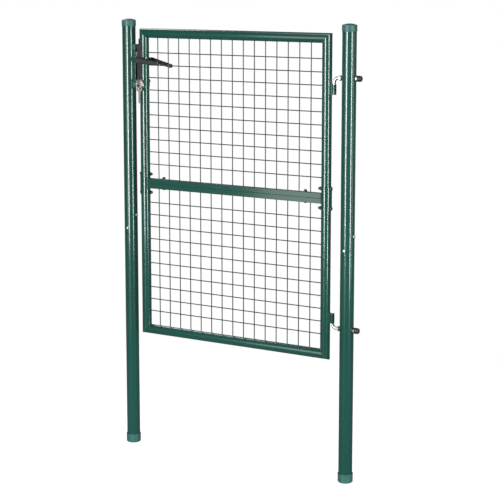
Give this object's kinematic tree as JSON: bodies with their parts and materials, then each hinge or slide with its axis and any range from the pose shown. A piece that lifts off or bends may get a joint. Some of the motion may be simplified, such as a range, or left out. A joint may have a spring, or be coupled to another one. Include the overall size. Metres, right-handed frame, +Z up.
{
  "type": "garden gate",
  "caption": "Framed garden gate leaf with welded wire mesh, hung between round posts, with lever handles, a latch and a key lock.",
  "frame": {"origin": "middle of the underside of the hinge post's foot", "axes": "+X from the latch post to the hinge post, -Y the front, +Z up"},
  "size_m": [1.086, 0.1126, 1.763],
  "materials": {
    "green_paint": "gloss",
    "green_plastic": "satin",
    "black_plastic": "satin",
    "zinc_steel": "zinc plated",
    "nickel": "nickel plated"
  },
  "bodies": {
    "posts": {"hinge_post_upper": "green_paint", "hinge_post_lower": "green_paint", "latch_post_upper": "green_paint", "latch_post_lower": "green_paint", "hinge_post_cap": "green_plastic", "latch_post_cap": "green_plastic", "hinge_post_base": "green_plastic", "latch_post_base": "green_plastic", "post_screws": "zinc_steel", "strike_channel": "green_paint", "strike_blocks": "green_plastic", "strike_screws": "zinc_steel", "upper_hinge_hook": "zinc_steel", "lower_hinge_hook": "zinc_steel", "hook_collars": "black_plastic", "hook_inner_nuts": "zinc_steel", "hook_washers": "black_plastic", "hook_outer_nuts": "zinc_steel", "hook_nut_caps": "black_plastic"},
    "leaf": {"top_rail": "green_paint", "bottom_rail": "green_paint", "hinge_stile_upper": "green_paint", "hinge_stile_lower": "green_paint", "latch_stile_upper": "green_paint", "latch_stile_lower": "green_paint", "middle_rail_upper": "green_paint", "middle_rail_lower": "green_paint", "mesh_upper": "green_paint", "mesh_lower": "green_paint", "hinge_stile_bracket": "green_paint", "latch_stile_bracket": "green_paint", "bracket_bolts": "green_paint", "bracket_dome_nuts": "zinc_steel", "rail_bolts": "zinc_steel", "rail_nuts": "zinc_steel", "upper_hinge_sleeve": "green_paint", "lower_hinge_sleeve": "green_paint", "lock_cover": "black_plastic", "lock_forend": "zinc_steel", "forend_screws": "zinc_steel", "lock_case": "zinc_steel", "lock_case_cover": "zinc_steel", "handle_roses": "black_plastic", "key_cylinder": "nickel", "cylinder_screw": "zinc_steel"},
    "handle": {"front_lever": "black_plastic", "back_lever": "black_plastic", "handle_spindle": "zinc_steel", "lock_follower": "zinc_steel", "lever_grub_screws": "zinc_steel"},
    "latch": {"latch_bolt": "zinc_steel"},
    "deadbolt": {"dead_bolt": "zinc_steel"},
    "key": {"cylinder_plug": "nickel", "plug_cam": "nickel", "inserted_key": "nickel"},
    "ring": {"key_ring": "nickel", "spare_key": "nickel"}
  },
  "joints": [
    {"name": "leaf_swing", "type": "hinge", "parent": "posts", "child": "leaf", "pos_m": [-0.062, 0, 1.1], "axis": [0, 0, 1], "range_deg": [-110, 110]},
    {"name": "handle_turn", "type": "hinge", "parent": "leaf", "child": "handle", "pos_m": [-0.927, 0, 1.5985], "axis": [0, 1, 0], "range_deg": [0, 35], "stiffness_Nm_per_rad": 1.5, "springref_deg": -20.05},
    {"name": "latch_slide", "type": "slide", "parent": "leaf", "child": "latch", "axis": [1, 0, 0], "range_m": [0, 0.012]},
    {"name": "key_turn", "type": "hinge", "parent": "leaf", "child": "key", "pos_m": [-0.927, 0, 1.513], "axis": [0, -1, 0], "range_deg": [0, 360]},
    {"name": "dead_bolt_slide", "type": "slide", "parent": "leaf", "child": "deadbolt", "axis": [-1, 0, 0], "range_m": [0, 0.02]},
    {"name": "ring_swing", "type": "hinge", "parent": "leaf", "child": "ring", "pos_m": [-0.927, -0.0376, 1.513], "axis": [0, 1, 0], "range_deg": [-30, 30]}
  ],
  "couplings": [
    {"joint": "latch_slide", "follows": "handle_turn", "m_per_rad": 0.019644},
    {"joint": "key_turn", "follows": "dead_bolt_slide", "rad_per_m": 314.16}
  ]
}
